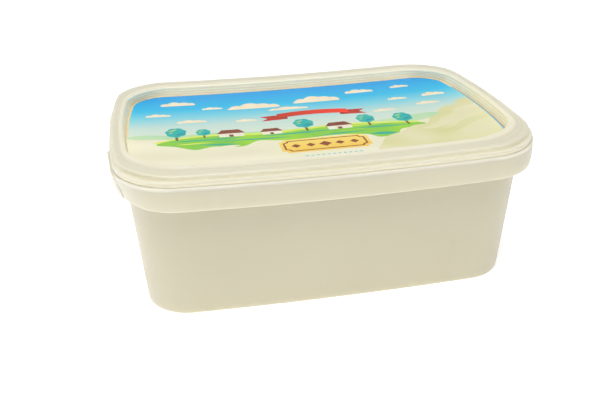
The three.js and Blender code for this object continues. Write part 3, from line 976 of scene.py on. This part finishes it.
# The camera stands where the photograph was taken from.
CAMERA_AZIMUTH = -10.65
CAMERA_ELEVATION = 24.84
CAMERA_ROLL = -1.37
CAMERA_DISTANCE = 365.86
CAMERA_TARGET = (-6.08, -6.52, 24.15)
CAMERA_LENS = 46.3


def place_camera():
    azimuth, elevation, roll = map(math.radians, (CAMERA_AZIMUTH, CAMERA_ELEVATION, CAMERA_ROLL))
    back = Vector((math.sin(azimuth) * math.cos(elevation),
                   -math.cos(azimuth) * math.cos(elevation), math.sin(elevation)))
    right = (-back).cross(Vector((0, 0, 1))).normalized()
    upward = right.cross(-back)
    turned = (right * math.cos(roll) + upward * math.sin(roll),
              upward * math.cos(roll) - right * math.sin(roll), back)
    where = (Vector(CAMERA_TARGET) + back * CAMERA_DISTANCE) * MM
    data = bpy.data.cameras.new("camera")
    data.lens = CAMERA_LENS
    data.clip_start = 0.01
    camera = put("camera", data)
    camera.matrix_world = Matrix.Translation(where) @ Matrix(turned).transposed().to_4x4()
    bpy.context.scene.camera = camera


# The white softboxes: name, place and size in metres, and power in watts. All face the tub.
SOFTBOXES = (
    ("back_softbox", (0.0, 0.42, 0.85), (0.7, 0.5), 1.6),
    ("high_softbox", (-0.12, -0.37, 1.1), (0.8, 0.5), 8.2),
    ("front_softbox", (-0.36, -1.15, 0.75), (0.8, 0.5), 1.6),
)
TUB_MIDDLE = (0, 0, 0.04)

# The glow of the sheet under the tub, in parts that fade with the distance from a place: that
# place, the two distances in metres, the strength at each, and how it fades between them.
SHEET_GLOW = (
    ((0, 0, 0), (0.1, 0.35, 0.55, 0.2), "SMOOTHSTEP"),
    ((0, 0, 0), (0.22, 0.6, 0, 0.8), "LINEAR"),
    ((-0.2, 0.03, 0), (0.04, 0.22, 0.4, 0), "SMOOTHSTEP"),
)
SHEET_TINT = (0.94, 0.935, 0.99)


def place_lights():
    """A white studio: softboxes behind, overhead and in front, and a white backdrop's glow."""
    for name, where, size, power in SOFTBOXES:
        data = bpy.data.lights.new(name, "AREA")
        data.shape = "RECTANGLE"
        data.size, data.size_y = size
        data.energy = power
        light = put(name, data)
        light.location = where
        aim = Vector(TUB_MIDDLE) - Vector(where)
        light.rotation_euler = aim.to_track_quat("-Z", "Y").to_euler()
    world = bpy.data.worlds.new("white_room")
    world.use_nodes = True
    tree = world.node_tree
    direction = add(tree, "TexCoord").outputs["Generated"]
    parts = add(tree, "SeparateXYZ", [direction]).outputs
    behind = add(tree, "MapRange", {0: parts["Y"], 1: 0.35, 2: 0.8, 3: 0.2, 4: 0.6})
    white = add(tree, "CombineColor", [behind, behind, behind])
    plug(tree, tree.nodes["Background"], {"Color": white})
    bpy.context.scene.world = world
    bpy.context.scene.view_settings.view_transform = "Standard"


def place_floor():
    """A white sheet lit through from below by a cool light, most of all round the tub: hardly any
    shadow is left, and the foot of the tub's wall is lit more than its top. The sheet is brighter
    on the tub's left, as by a window."""
    material, tree, shader = new_material("lit_white_sheet")
    place = add(tree, "TexCoord").outputs["Object"]
    fibre_cloud = 200 * MM
    fibre = add(tree, "TexNoise", {"Vector": place, "Scale": 1 / fibre_cloud})
    tone = add(tree, "Mix", {0: fibre, 6: linear("#f6f6f6"), 7: linear("#fbfbfb")},
               data_type="RGBA")
    glow = 0
    for centre, fade, blend in SHEET_GLOW:
        away = add(tree, "VectorMath", [place, centre], operation="DISTANCE").outputs["Value"]
        part = add(tree, "MapRange", [away, *fade], interpolation_type=blend)
        glow = add(tree, "ADD", [glow, part])
    white = add(tree, "CombineColor",
                [add(tree, "MULTIPLY", [glow, share]) for share in SHEET_TINT])
    plug(tree, shader, {"Base Color": tone.outputs[2], "Roughness": 0.9,
                        "Emission Color": white, "Emission Strength": 0.9})
    half = 20.0
    data = bpy.data.meshes.new("floor")
    data.from_pydata([(half * x, half * y, 0) for x, y in CORNERS], [], [(0, 1, 2, 3)])
    data.materials.append(material)
    put("floor", data)


place_camera()
place_lights()
place_floor()

# The last number is the strength of the painted highlight on convex edges.
tub_plastic = moulded_polypropylene("tub_moulded_polypropylene", "#d7d1b7", "#d2ccb1", 0.6, 0.6)
lid_plastic = moulded_polypropylene("lid_moulded_polypropylene", "#e0dcc6", "#dcd7be", 0.75, 0.2)
loft = loft_tree()
tub = lofted("moulded_tub", rounded(tub_stops()), loft, tub_plastic)
lid = lofted("push_on_lid", rounded(lid_stops()), loft, lid_plastic)
seals = grown("tear_off_seals", seal_tree(), {
    "Half length": LENGTH / 2 * MM,
    "Half width": WIDTH / 2 * MM,
    "Corner radius": RIM_RADIUS * MM,
    "Bow": RIM_BOW[1] * MM,
    "Start": SEAL_START * MM,
    "Length": SEAL_LENGTH * MM,
    "Proud at start": SEAL_PROUD[0] * MM,
    "Proud at end": SEAL_PROUD[1] * MM,
    "Backing": SEAL_BACKING * MM,
    "Bottom": SKIRT_FOOT * MM,
    "Top": SKIRT_TOP * MM,
    "Steps": SEAL_STEPS,
    "Material": tub_plastic,
    **dent_values(),
}, finish=[("BEVEL", {"width": SEAL_EDGE_ROUND * MM, "segments": 3, "limit_method": "ANGLE"})])
for face in seals.data.polygons:
    face.use_smooth = True
seals.data.set_sharp_from_angle(angle=math.radians(SEAL_SHARP))
label = printed_label({name: make(name + "_ink", *look) for name, (make, *look) in INKS.items()})

for piece, node, material_slot in ((tub, "tub", "tub_plastic"), (lid, "lid", "lid_plastic"),
                                   (label, "label", "label_film"), (seals, None, "tub_plastic")):
    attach(piece, "root")
    if node:
        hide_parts(node)
